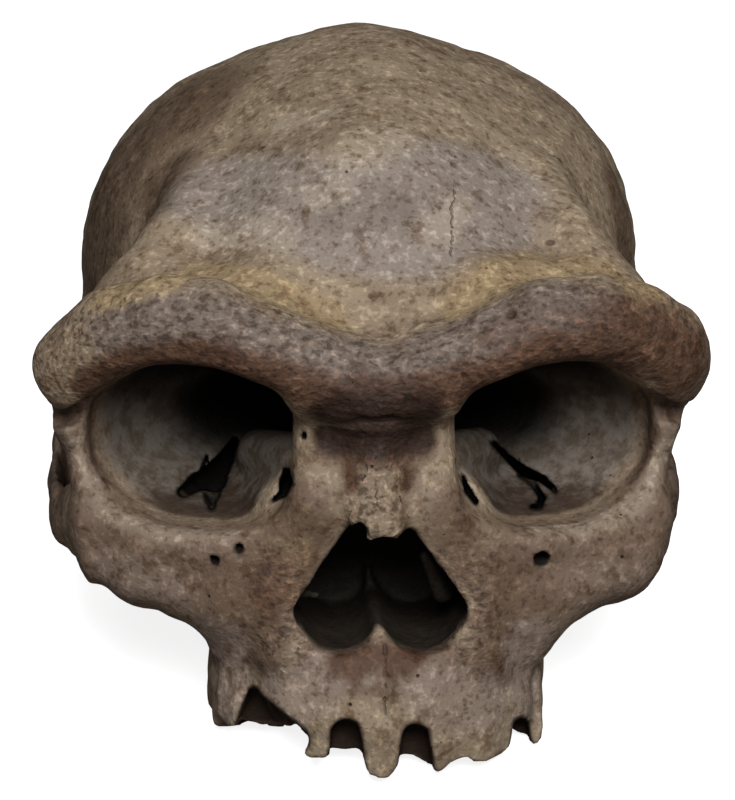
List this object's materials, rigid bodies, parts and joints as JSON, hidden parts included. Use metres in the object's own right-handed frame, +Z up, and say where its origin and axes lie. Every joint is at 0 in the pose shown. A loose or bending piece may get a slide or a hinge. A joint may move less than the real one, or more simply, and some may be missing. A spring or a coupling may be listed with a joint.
{
  "type": "fossil cranium",
  "caption": "Large fossil hominin cranium without lower jaw or teeth: low long vault, thick brow ridge, square orbits and a broad face with broken tooth sockets; rests on palate and nape.",
  "frame": {"origin": "On the surface that the cranium rests on, under the middle of its outline.", "axes": "The face looks along -Y and the nape is at +Y. +X is the cranium's own left, and +Z is up as it rests."},
  "size_m": [0.154, 0.2326, 0.1374],
  "materials": {
    "fossil_bone": "matt, finely pitted and mottled bone in tan, grey-mauve, ochre and brown"
  },
  "bodies": {
    "root": {"cranium": "fossil_bone"}
  },
  "joints": []
}
